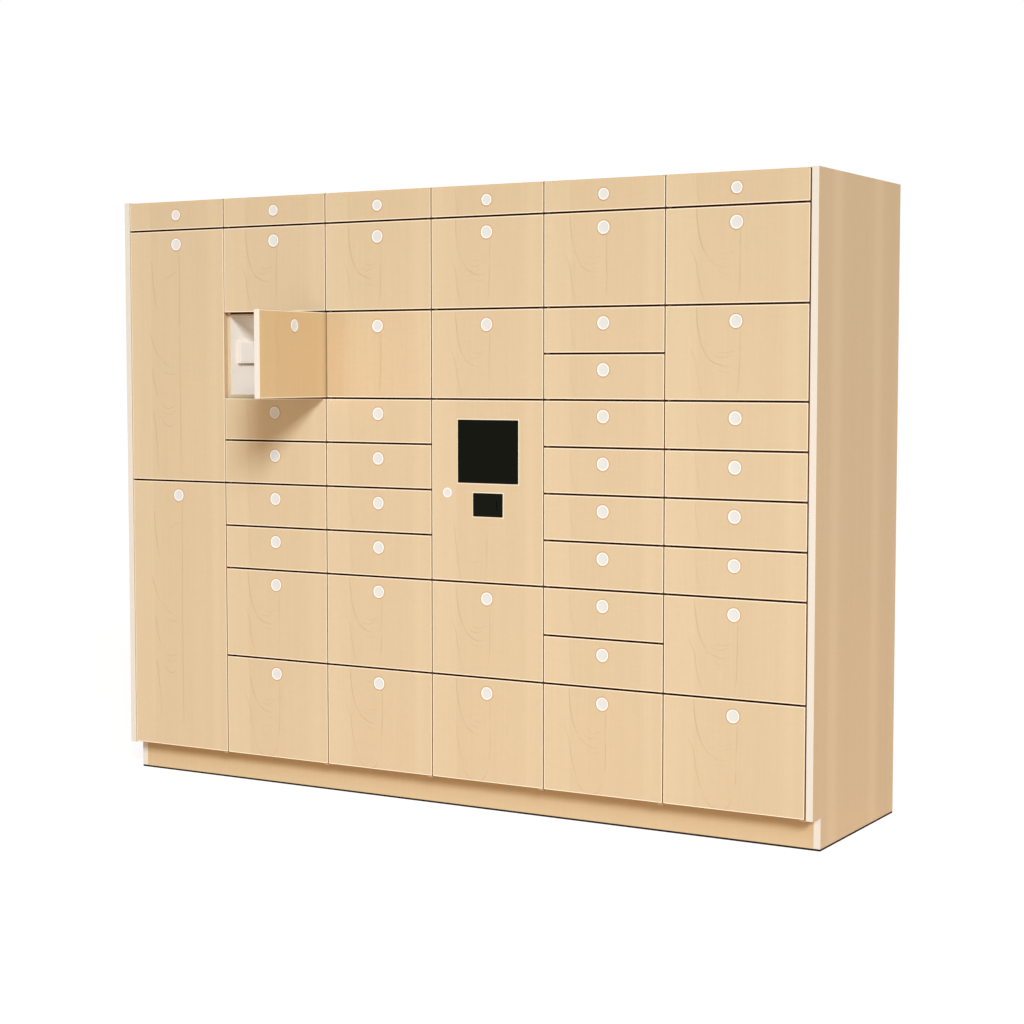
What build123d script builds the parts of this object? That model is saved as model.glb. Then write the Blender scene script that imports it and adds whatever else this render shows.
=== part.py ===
"""Bank of electronic lockers with a payment terminal in its fourth column.

Millimetres. The row's frame: +X to the right along the bank, +Y from the doors
towards the back panel, +Z up. The origin is on the floor at the centre of the
footprint. Inside this file positions are written as distances from the left
outer face (x), from the plane of the door faces (y) and from the floor (z).
"""
import os
from build123d import *

os.makedirs("parts", exist_ok=True)

# ---------------------------------------------------------------- dimensions
WIDTH, DEPTH, HEIGHT = 2590.0, 680.0, 2000.0

SIDE_T = 22.0          # side panels
BOARD_T = 19.0         # partitions, shelves, top, base
DOOR_T = 19.0          # door boards
BACK_T = 8.0           # back panel
CARCASS_Y = 22.0       # front edge of partitions and shelves
BACK_Y = DEPTH - BACK_T

KICK_DEPTH = 62.0      # toe recess
KICK_H = 100.0
PLINTH_T = 18.0

# centre lines between the columns, left to right (the outer two lie 2 mm
# inside the side panels so that the outer doors have the same gap)
SEAM = [24.0, 436.0, 859.0, 1273.0, 1686.0, 2103.0, 2565.5]
TOP_SEAM = 1998.5      # above the header doors
# centre lines between the doors of each column, top to bottom
EVEN = [1900.0, 1611.0, 1326.0, 1180.25, 1034.5, 888.75, 743.0, 440.0, 100.5]
ROWS = {
    1: [1900.0, 1034.5, 100.5],
    2: EVEN,
    3: EVEN,
    4: [1900.0, 1611.0, 1326.0, 743.0, 440.0, 100.5],
    5: [1900.0, 1611.0, 1468.5, 1326.0, 1180.25, 1034.5, 888.75, 743.0,
        591.5, 440.0, 100.5],
    6: EVEN,
}
CONSOLE_COL = 4
CONSOLE_TOP, CONSOLE_LOW = 1326.0, 743.0

GAP_X = 2.0            # from a column's centre line to its door
GAP_Z = 2.5            # from a row's centre line to its door

# pivot hinges: a pin standing out of the door's top and bottom edge turns in a
# plate that fills the gap between two doors
HINGE_IN = 9.0         # axis, left of the column's right-hand centre line
HINGE_Y = 7.0          # axis, behind the door face
PIN_R = 2.50
PIN_HOLE_R = 2.55
PIN_OUT = 2.2
PLATE_T = 3.0
PLATE_Y0, PLATE_TONGUE = 1.5, 20.0
OPEN_ANGLE = 95.0

# round covers on the door faces
DISC_R, DISC_T, DISC_DOWN = 20.5, 2.0, 50.0
HEADER_DISC_R, HEADER_DISC_Z = 18.0, 1950.5

# latch tongue on the inner face of each door and the lock case beside it
STRIKER_X, STRIKER_W, STRIKER_LEN, STRIKER_T = 16.5, 13.5, 50.0, 3.0
STRIKER_CLEAR = 2.5    # under the lock case
LOCK_W, LOCK_D, LOCK_H, LOCK_Y = 12.0, 90.0, 76.0, 58.0
LOCK_UP = 11.0         # lock case's middle above the compartment's middle
HEADER_LOCK_H = 50.0

# terminal: touchscreen, coin unit, service lock
TERMINAL_X = 1484.0    # middle of the screen, the coin unit and its box
SCREEN_W, SCREEN_Z0, SCREEN_Z1 = 222.0, 1060.0, 1261.0
COIN_W, COIN_Z0, COIN_Z1 = 109.0, 954.0, 1029.0
BEZEL_T = 1.5
FIT = 1.0              # clearance round what passes through the console door
SCREEN_BODY_D = 48.0
COIN_BODY_D = 95.0
SLOT_W, SLOT_H = 3.2, 30.0
SLOT_DX = 32.0         # slot, right of the unit's middle
CAM_DX, CAM_Z = 60.0, 1027.0
CAM_DISC_R, CAM_SHAFT_R, CAM_HOLE_R = 16.0, 7.95, 8.0

# coin box on the floor of the console compartment
BOX_W, BOX_Y0, BOX_Y1, BOX_H, BOX_T = 180.0, 32.0, 300.0, 120.0, 1.5

# back panel: wall fixings and cable inlet
FIX_R, FIX_DX, FIX_Z = 4.0, 1050.0, (270.0, 1941.0)
INLET_R, INLET_Z = 30.0, 1941.0
CABLE_R, CABLE_Y = 20.0, 560.0   # cable passages through the partitions

MIN3 = (Align.MIN, Align.MIN, Align.MIN)
UP = (Align.CENTER, Align.CENTER, Align.MIN)


# ------------------------------------------------------------------- helpers
def slab(x0, x1, y0, y1, z0, z1):
    return Pos(x0 - WIDTH / 2, y0 - DEPTH / 2, z0) * Box(
        x1 - x0, y1 - y0, z1 - z0, align=MIN3)


def rod_z(x, y, r, z0, z1):
    return Pos(x - WIDTH / 2, y - DEPTH / 2, z0) * Cylinder(r, z1 - z0, align=UP)


def rod_y(x, z, r, y0, y1):
    """A cylinder along +Y."""
    return Pos(x - WIDTH / 2, y0 - DEPTH / 2, z) * (
        Rot(-90, 0, 0) * Cylinder(r, y1 - y0, align=UP))


def rod_x(y, z, r, x0, x1):
    """A cylinder along +X."""
    return Pos(x0 - WIDTH / 2, y - DEPTH / 2, z) * (
        Rot(0, 90, 0) * Cylinder(r, x1 - x0, align=UP))


def save(name, solids):
    solids = solids if isinstance(solids, list) else [solids]
    flat = []
    for s in solids:
        flat += list(s.solids())
    shape = flat[0] if len(flat) == 1 else Compound(children=flat)
    shape.label = name
    export_step(shape, f"parts/{name}.step")


def column(c):
    """Left and right centre lines of a column."""
    return SEAM[c - 1], SEAM[c]


def clear_x(c):
    """Inner faces of a column's walls."""
    left, right = column(c)
    return (SIDE_T if c == 1 else left + BOARD_T / 2,
            WIDTH - SIDE_T if c == 6 else right - BOARD_T / 2)


def hinge_at(c):
    return column(c)[1] - HINGE_IN


# --------------------------------------------------------------------- doors
def board_with_pins(c, z_low, z_high):
    left, right = column(c)
    z0, z1 = z_low + GAP_Z, z_high - GAP_Z
    board = slab(left + GAP_X, right - GAP_X, 0, DOOR_T, z0, z1)
    board += rod_z(hinge_at(c), HINGE_Y, PIN_R, z1 - 1, z1 + PIN_OUT)
    board += rod_z(hinge_at(c), HINGE_Y, PIN_R, z0 - PIN_OUT, z0 + 1)
    return board


def striker(c, z_case):
    x, z1 = column(c)[0] + STRIKER_X, z_case - STRIKER_CLEAR
    return slab(x, x + STRIKER_W, DOOR_T, DOOR_T + STRIKER_LEN, z1 - STRIKER_T, z1)


def door(c, z_low, z_high, disc_r, disc_z, z_case):
    x_mid = sum(column(c)) / 2
    return [
        board_with_pins(c, z_low, z_high),
        rod_y(x_mid, disc_z, disc_r, -DISC_T, 0),
        striker(c, z_case),
    ]


def turned(solids, c, angle):
    """Solids swung open about a column's hinge axis."""
    axis = Axis((hinge_at(c) - WIDTH / 2, HINGE_Y - DEPTH / 2, 0), (0, 0, 1))
    return [s.rotate(axis, angle) for s in solids]


compartments = []      # (column, number from the top, z_low, z_high)
for c, rows in ROWS.items():
    n = 0
    for z_high, z_low in zip(rows, rows[1:]):
        if c == CONSOLE_COL and z_high == CONSOLE_TOP:
            continue
        n += 1
        compartments.append((c, n, z_low, z_high))

for c, n, z_low, z_high in compartments:
    solids = door(c, z_low, z_high, DISC_R, z_high - DISC_DOWN,
                  (z_low + z_high) / 2 + LOCK_UP - LOCK_H / 2)
    if (c, n) == (2, 2):        # this one stands open
        solids = turned(solids, c, OPEN_ANGLE)
    save(f"door_col{c}_{n}", solids)

for c, rows in ROWS.items():
    save(f"header_door_{c}",
         door(c, rows[0], TOP_SEAM, HEADER_DISC_R, HEADER_DISC_Z,
              (rows[0] + TOP_SEAM) / 2 - HEADER_LOCK_H / 2))

# ------------------------------------------------------------------ terminal
cx = TERMINAL_X
cam_x = column(CONSOLE_COL)[0] + CAM_DX

console = board_with_pins(CONSOLE_COL, CONSOLE_LOW, CONSOLE_TOP)
BODY_IN = 7.0          # bezel overlap round the screen body and the coin body
console -= slab(cx - SCREEN_W / 2 + BODY_IN - FIT, cx + SCREEN_W / 2 - BODY_IN + FIT,
                -1, DOOR_T + 1,
                SCREEN_Z0 + BODY_IN - FIT, SCREEN_Z1 - BODY_IN + FIT)
console -= slab(cx - COIN_W / 2 + BODY_IN - FIT, cx + COIN_W / 2 - BODY_IN + FIT,
                -1, DOOR_T + 1,
                COIN_Z0 + BODY_IN - FIT, COIN_Z1 - BODY_IN + FIT)
console -= rod_y(cam_x, CAM_Z, CAM_HOLE_R, -1, DOOR_T + 1)
save("console_door", console)

screen = slab(cx - SCREEN_W / 2, cx + SCREEN_W / 2, -BEZEL_T, 0, SCREEN_Z0, SCREEN_Z1)
screen += slab(cx - SCREEN_W / 2 + BODY_IN, cx + SCREEN_W / 2 - BODY_IN,
               0, SCREEN_BODY_D, SCREEN_Z0 + BODY_IN, SCREEN_Z1 - BODY_IN)
save("touchscreen", screen)

# coin unit: bezel, body behind the door, a chute running down from the slot
coin = slab(cx - COIN_W / 2, cx + COIN_W / 2, -BEZEL_T, 0, COIN_Z0, COIN_Z1)
coin += slab(cx - COIN_W / 2 + BODY_IN, cx + COIN_W / 2 - BODY_IN,
             0, COIN_BODY_D, COIN_Z0 + BODY_IN, COIN_Z1 - BODY_IN)
slot_z = (COIN_Z0 + COIN_Z1) / 2
coin -= slab(cx + SLOT_DX - SLOT_W / 2, cx + SLOT_DX + SLOT_W / 2,
             -BEZEL_T - 1, 62, slot_z - SLOT_H / 2, slot_z + SLOT_H / 2)
coin -= slab(cx + SLOT_DX - SLOT_W / 2, cx + SLOT_DX + SLOT_W / 2,
             30, 62, COIN_Z0, slot_z)
save("coin_unit", coin)

# service lock: disc, barrel, nut and cam turn together; the cam points up
# (unlocked) and turns towards the left wall to catch behind its keeper
lock = rod_y(cam_x, CAM_Z, CAM_DISC_R, -DISC_T - 0.3, -0.3)
lock += rod_y(cam_x, CAM_Z, CAM_SHAFT_R, -0.4, 36)
lock += rod_y(cam_x, CAM_Z, 12.0, DOOR_T + 0.3, DOOR_T + 4.3)
lock += slab(cam_x - 8, cam_x + 8, 33, 36, CAM_Z - 9, CAM_Z + 40)
save("console_lock", lock)

# ------------------------------------------------------------------- carcass
side = slab(0, SIDE_T, 0, DEPTH, 0, HEIGHT) - slab(
    -1, SIDE_T + 1, -1, KICK_DEPTH, -1, KICK_H)
save("side_panels", [side, Pos(WIDTH - SIDE_T, 0, 0) * side])


def plate(c, z):
    """Hinge plate in the gap at height z at the right of column c."""
    right = column(c)[1]
    if c == 6:
        x0, x1 = right - 17, WIDTH - SIDE_T
        body = slab(x0, x1, PLATE_Y0, CARCASS_Y, z - PLATE_T / 2, z + PLATE_T / 2)
    else:
        x0, x1 = right - 17, right - 0.5
        body = slab(x0, x1, PLATE_Y0, CARCASS_Y, z - PLATE_T / 2, z + PLATE_T / 2)
        body += slab(right - BOARD_T / 2, x1, CARCASS_Y - 1, CARCASS_Y + PLATE_TONGUE,
                     z - PLATE_T / 2, z + PLATE_T / 2)
    return body - rod_z(hinge_at(c), HINGE_Y, PIN_HOLE_R, z - PLATE_T, z + PLATE_T)


def kerf(c, z):
    """Space for a hinge plate's tongue in the boards behind it."""
    right = column(c)[1]
    return slab(right - BOARD_T / 2, right - 0.5, CARCASS_Y, CARCASS_Y + PLATE_TONGUE,
                z - PLATE_T / 2, z + PLATE_T / 2)


plates = []
for c, rows in ROWS.items():
    for z in [TOP_SEAM] + rows:
        plates.append(plate(c, z))
save("hinge_plates", plates)

top = slab(SIDE_T, WIDTH - SIDE_T, CARCASS_Y, BACK_Y, HEIGHT - BOARD_T, HEIGHT)
base = slab(SIDE_T, WIDTH - SIDE_T, CARCASS_Y, BACK_Y, KICK_H, KICK_H + BOARD_T)
for c in range(1, 6):
    top -= kerf(c, TOP_SEAM)
    base -= kerf(c, ROWS[c][-1])
save("top_panel", top)
save("base_panel", base)

partitions = []
for c in range(1, 6):
    x = SEAM[c]
    p = slab(x - BOARD_T / 2, x + BOARD_T / 2, CARCASS_Y, BACK_Y,
             KICK_H + BOARD_T, HEIGHT - BOARD_T)
    for z in ROWS[c][:-1]:
        p -= kerf(c, z)
    p -= rod_x(CABLE_Y, INLET_Z, CABLE_R, x - BOARD_T, x + BOARD_T)
    partitions.append(p)
save("partitions", partitions)

shelves = []
for c, rows in ROWS.items():
    x0, x1 = clear_x(c)
    for z in rows[:-1]:
        shelves.append(slab(x0, x1, CARCASS_Y, BACK_Y, z - BOARD_T / 2, z + BOARD_T / 2))
save("shelves", shelves)

back = slab(SIDE_T, WIDTH - SIDE_T, BACK_Y, DEPTH, KICK_H, HEIGHT)
for dx in (-FIX_DX, FIX_DX):
    for z in FIX_Z:
        back -= rod_y(WIDTH / 2 + dx, z, FIX_R, BACK_Y - 1, DEPTH + 1)
back -= rod_y(cx, INLET_Z, INLET_R, BACK_Y - 1, DEPTH + 1)
save("back_panel", back)

# plinth: front boards in two lengths, a filler beside the right side panel, a
# rear board and cross members
FILLER = 20.0
SPLIT = 1255.0
ribs = [320.0, 800.0, WIDTH / 2, 1790.0, 2270.0]
y_in = KICK_DEPTH + PLINTH_T
plinth = [
    slab(SIDE_T, SPLIT, KICK_DEPTH, y_in, 0, KICK_H),
    slab(SPLIT, WIDTH - SIDE_T - FILLER, KICK_DEPTH, y_in, 0, KICK_H),
    slab(WIDTH - SIDE_T - FILLER, WIDTH - SIDE_T, KICK_DEPTH, y_in, 0, KICK_H),
    slab(SIDE_T, WIDTH - SIDE_T, 600, 618, 0, KICK_H),
]
plinth += [slab(x - 9, x + 9, y_in, 600, 0, KICK_H) for x in ribs]
save("plinth", plinth)

# -------------------------------------------------------------- lock cases
cases = []
for c, n, z_low, z_high in compartments:
    x, z = clear_x(c)[0], (z_low + z_high) / 2 + LOCK_UP
    cases.append(slab(x, column(c)[0] + BOARD_T / 2 + LOCK_W, LOCK_Y, LOCK_Y + LOCK_D,
                      z - LOCK_H / 2, z + LOCK_H / 2))
for c, rows in ROWS.items():
    x, z = clear_x(c)[0], (rows[0] + TOP_SEAM) / 2
    cases.append(slab(x, column(c)[0] + BOARD_T / 2 + LOCK_W, LOCK_Y, LOCK_Y + LOCK_D,
                      z - HEADER_LOCK_H / 2, z + HEADER_LOCK_H / 2 - 8))
# keeper for the service lock's cam, on the console compartment's left wall
kx = clear_x(CONSOLE_COL)[0]
cases.append(slab(kx, kx + 16, 28, 31, CAM_Z - 16, CAM_Z + 16))
save("lock_units", cases)

# ------------------------------------------------------------------ coin box
z0 = CONSOLE_LOW + BOARD_T / 2
box = slab(cx - BOX_W / 2, cx + BOX_W / 2, BOX_Y0, BOX_Y1, z0, z0 + BOX_H)
box -= slab(cx - BOX_W / 2 + BOX_T, cx + BOX_W / 2 - BOX_T,
            BOX_Y0 + BOX_T, BOX_Y1 - BOX_T, z0 + BOX_T, z0 + BOX_H + 1)
save("coin_box", box)

print(len(compartments), "compartments,", len(os.listdir("parts")), "nodes")
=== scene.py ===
import math
import random

import bmesh
import bpy
from mathutils import Matrix, Vector


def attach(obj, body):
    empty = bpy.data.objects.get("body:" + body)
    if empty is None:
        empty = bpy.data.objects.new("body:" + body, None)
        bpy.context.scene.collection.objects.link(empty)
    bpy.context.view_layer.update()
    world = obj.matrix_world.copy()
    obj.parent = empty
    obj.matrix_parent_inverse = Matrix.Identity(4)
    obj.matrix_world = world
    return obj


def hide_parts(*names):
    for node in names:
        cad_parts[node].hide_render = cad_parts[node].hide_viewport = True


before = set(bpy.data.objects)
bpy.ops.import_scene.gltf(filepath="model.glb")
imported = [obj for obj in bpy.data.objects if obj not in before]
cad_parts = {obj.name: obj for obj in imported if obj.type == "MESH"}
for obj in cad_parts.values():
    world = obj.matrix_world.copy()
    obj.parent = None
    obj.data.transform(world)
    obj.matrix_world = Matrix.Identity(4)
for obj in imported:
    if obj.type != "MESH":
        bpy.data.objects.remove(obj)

random.seed(7)


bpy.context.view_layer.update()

# ------------------------------------------------------------ the part's grid
W, D, H = 2.590, 0.680, 2.000
X0, Y0 = -W / 2, -D / 2
SEAM = [24.0, 436.0, 859.0, 1273.0, 1686.0, 2103.0, 2565.5]
TERMINAL_X = 1484.0        # middle of the screen and the coin unit
EVEN = [1900.0, 1611.0, 1326.0, 1180.25, 1034.5, 888.75, 743.0, 440.0, 100.5]
ROWS = {
    1: [1900.0, 1034.5, 100.5],
    2: EVEN,
    3: EVEN,
    4: [1900.0, 1611.0, 1326.0, 743.0, 440.0, 100.5],
    5: [1900.0, 1611.0, 1468.5, 1326.0, 1180.25, 1034.5, 888.75, 743.0, 591.5, 440.0, 100.5],
    6: EVEN,
}
MM = 0.001
PIN_OUT = 2.2 * MM
DOOR_T = 19 * MM
FRONT = Y0                 # plane of the door faces
CARCASS = Y0 + 22 * MM     # front edge of partitions and shelves
BACK = Y0 + 672 * MM


def fx(mm):
    """x in the row frame from a distance in mm from the left outer face"""
    return X0 + mm * MM


def fy(mm):
    return Y0 + mm * MM


# ------------------------------------------------------------------ materials
class Nodes:
    """A short way to write shader graphs."""

    def __init__(self, name):
        self.mat = bpy.data.materials.new(name)
        self.mat.use_nodes = True
        self.t = self.mat.node_tree
        self.t.nodes.clear()
        self.out = self.t.nodes.new("ShaderNodeOutputMaterial")
        self.bsdf = self.t.nodes.new("ShaderNodeBsdfPrincipled")
        self.t.links.new(self.bsdf.outputs[0], self.out.inputs[0])

    def put(self, sock, v):
        if isinstance(v, bpy.types.NodeSocket):
            self.t.links.new(v, sock)
        elif v is not None:
            sock.default_value = v

    def math(self, op, a, b=None, c=None, clamp=False):
        n = self.t.nodes.new("ShaderNodeMath")
        n.operation = op
        n.use_clamp = clamp
        self.put(n.inputs[0], a)
        self.put(n.inputs[1], b)
        self.put(n.inputs[2], c)
        return n.outputs[0]

    def add(self, *v):
        r = v[0]
        for x in v[1:]:
            r = self.math("ADD", r, x)
        return r

    def mul(self, a, b):
        return self.math("MULTIPLY", a, b)

    def uv(self, name):
        n = self.t.nodes.new("ShaderNodeUVMap")
        n.uv_map = name
        return self.split(n.outputs[0])

    def split(self, v):
        n = self.t.nodes.new("ShaderNodeSeparateXYZ")
        self.put(n.inputs[0], v)
        return n.outputs

    def vec(self, x, y, z=0.0):
        n = self.t.nodes.new("ShaderNodeCombineXYZ")
        self.put(n.inputs[0], x)
        self.put(n.inputs[1], y)
        self.put(n.inputs[2], z)
        return n.outputs[0]

    def noise(self, v, scale=1.0, detail=2.0, rough=0.5, warp=0.0):
        n = self.t.nodes.new("ShaderNodeTexNoise")
        n.noise_dimensions = "3D"
        self.put(n.inputs["Vector"], v)
        n.inputs["Scale"].default_value = scale
        n.inputs["Detail"].default_value = detail
        n.inputs["Roughness"].default_value = rough
        n.inputs["Distortion"].default_value = warp
        return n.outputs[0]

    def smooth(self, v, a, b, to_a=0.0, to_b=1.0):
        n = self.t.nodes.new("ShaderNodeMapRange")
        n.interpolation_type = "SMOOTHSTEP"
        self.put(n.inputs["Value"], v)
        n.inputs["From Min"].default_value = a
        n.inputs["From Max"].default_value = b
        n.inputs["To Min"].default_value = to_a
        n.inputs["To Max"].default_value = to_b
        return n.outputs[0]

    def curve(self, x, pts):
        """A smooth curve through points whose x and y run from 0 to 1."""
        n = self.t.nodes.new("ShaderNodeFloatCurve")
        c = n.mapping.curves[0]
        for p in pts[2:]:
            c.points.new(*p)
        for q, p in zip(sorted(c.points, key=lambda q: q.location[0]), sorted(pts)):
            q.location = p
        for q, p in zip(c.points, sorted(pts)):
            q.location = p
        n.mapping.update()
        self.put(n.inputs["Value"], x)
        return n.outputs[0]

    def bell(self, x, mid, half):
        """1 at mid, 0 beyond half each side"""
        d = self.math("ABSOLUTE", self.math("SUBTRACT", x, mid))
        return self.smooth(d, 0.0, half, 1.0, 0.0)

    def mix(self, fac, a, b, mode="MIX"):
        n = self.t.nodes.new("ShaderNodeMix")
        n.data_type = "RGBA"
        n.blend_type = mode
        n.clamp_factor = True
        self.put(n.inputs[0], fac)
        self.put(n.inputs[6], a if isinstance(a, bpy.types.NodeSocket) else (*a, 1.0))
        self.put(n.inputs[7], b if isinstance(b, bpy.types.NodeSocket) else (*b, 1.0))
        return n.outputs[2]

    def bump(self, height, strength, distance):
        n = self.t.nodes.new("ShaderNodeBump")
        n.inputs["Strength"].default_value = strength
        n.inputs["Distance"].default_value = distance
        self.put(n.inputs["Height"], height)
        self.t.links.new(n.outputs[0], self.bsdf.inputs["Normal"])

    def obj_coord(self):
        n = self.t.nodes.new("ShaderNodeTexCoord")
        return n.outputs["Object"]

    def set(self, color=None, rough=None, metallic=None, spec=None, coat=None, coat_rough=None, ior=None):
        b = self.bsdf.inputs
        if color is not None:
            self.put(b["Base Color"], color if isinstance(color, bpy.types.NodeSocket) else (*color, 1.0))
        if rough is not None:
            self.put(b["Roughness"], rough)
        if metallic is not None:
            b["Metallic"].default_value = metallic
        if spec is not None:
            b["Specular IOR Level"].default_value = spec
        if coat is not None:
            b["Coat Weight"].default_value = coat
        if coat_rough is not None:
            b["Coat Roughness"].default_value = coat_rough
        if ior is not None:
            b["IOR"].default_value = ior
        return self.mat


REACH = 0.94          # metres down a door that the figure's curves cover
# Lines of the veneer's figure. "down" lines give (depth in mm, fraction across),
# "across" lines (fraction across, depth in mm); the third number is strength.
FIGURE = {
    "door": (
        ("down", ((0, .219, .0), (12, .220, .8), (52, .227, 1.), (100, .247, 1.), (130, .272, .8), (152, .304, .55), (170, .345, .0))),
        ("across", ((.285, 144, .0), (.31, 158, .8), (.345, 169, 1.), (.39, 178, .9), (.44, 182, .4), (.50, 178, .0))),
        ("down", ((110, .165, .0), (128, .182, .4), (150, .207, .5), (166, .219, .7), (205, .232, .7), (245, .252, .6), (275, .275, .4), (305, .315, .0))),
        ("down", ((52, .527, .0), (80, .529, .6), (150, .527, .8), (210, .525, .8), (250, .517, .5), (285, .497, .0))),
        ("across", ((.26, 268, .0), (.29, 300, .7), (.33, 321, .8), (.37, 330, .5), (.42, 333, .7), (.465, 322, .9), (.50, 293, .8), (.52, 255, .0))),
        ("across", ((.33, 146, .0), (.36, 152, .5), (.40, 156, .55), (.44, 152, .4), (.49, 144, .0))),
        ("across", ((.36, 136, .0), (.39, 138, .4), (.43, 141, .45), (.47, 136, .4), (.51, 130, .0))),
        ("across", ((.36, 190, .0), (.39, 196, .35), (.43, 200, .35), (.47, 198, .2), (.50, 192, .0))),
    ),
    "tall": (
        ("down", ((88, .228, .0), (112, .229, .7), (165, .237, 1.), (226, .256, 1.), (287, .270, .0),
                  (322, .197, .0), (338, .201, .8), (379, .229, 1.), (423, .284, 1.), (452, .360, .0),
                  (462, .229, .0), (476, .231, .9), (514, .242, 1.), (558, .270, .9), (596, .300, .0),
                  (618, .232, .0), (634, .235, .9), (672, .250, 1.), (751, .270, .8), (829, .284, .6), (850, .288, .0))),
        ("down", ((62, .532, .0), (84, .531, .9), (260, .528, 1.), (430, .526, .8), (600, .527, 1.), (830, .525, .8), (856, .524, .0))),
        ("across", ((.33, 438, .0), (.36, 450, .8), (.40, 462, .5), (.44, 466, .0), (.60, 466, .0))),
        ("across", ((.35, 168, .0), (.39, 163, .6), (.44, 153, .7), (.48, 142, .5), (.52, 136, .0))),
        ("across", ((.34, 478, .0), (.38, 486, .6), (.43, 491, .6), (.48, 487, .3), (.52, 480, .0))),
        ("across", ((.31, 588, .0), (.35, 604, .6), (.40, 612, .7), (.45, 606, .6), (.50, 590, .0))),
        ("across", ((.30, 636, .0), (.34, 658, .7), (.39, 672, .8), (.44, 668, .5), (.50, 650, .0))),
        ("across", ((.32, 618, .0), (.36, 628, .5), (.40, 632, .5), (.45, 626, .4), (.50, 616, .0))),
    ),
    "small": (
        ("down", ((0, .219, .0), (30, .223, .35), (70, .234, .4), (100, .247, .35), (125, .262, .2), (150, .275, .0))),
    ),
    "beside": (
        ("down", ((52, .527, .0), (80, .529, .6), (150, .527, .7), (210, .525, .7), (250, .517, .5), (285, .497, .0))),
    ),
    "open": (
        ("down", ((30, .222, .0), (60, .229, .35), (110, .250, .4), (160, .290, .2), (190, .320, .0))),
    ),
    "console": (
        ("down", ((370, .200, .0), (400, .205, .5), (450, .215, .7), (520, .240, .7), (570, .262, .5), (578, .265, .4))),
        ("down", ((400, .500, .0), (430, .500, .6), (500, .500, .7), (570, .498, .5), (578, .498, .5))),
        ("across", ((.30, 505, .0), (.34, 512, .4), (.38, 514, .4), (.42, 510, .3), (.46, 502, .0))),
    ),
}


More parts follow.
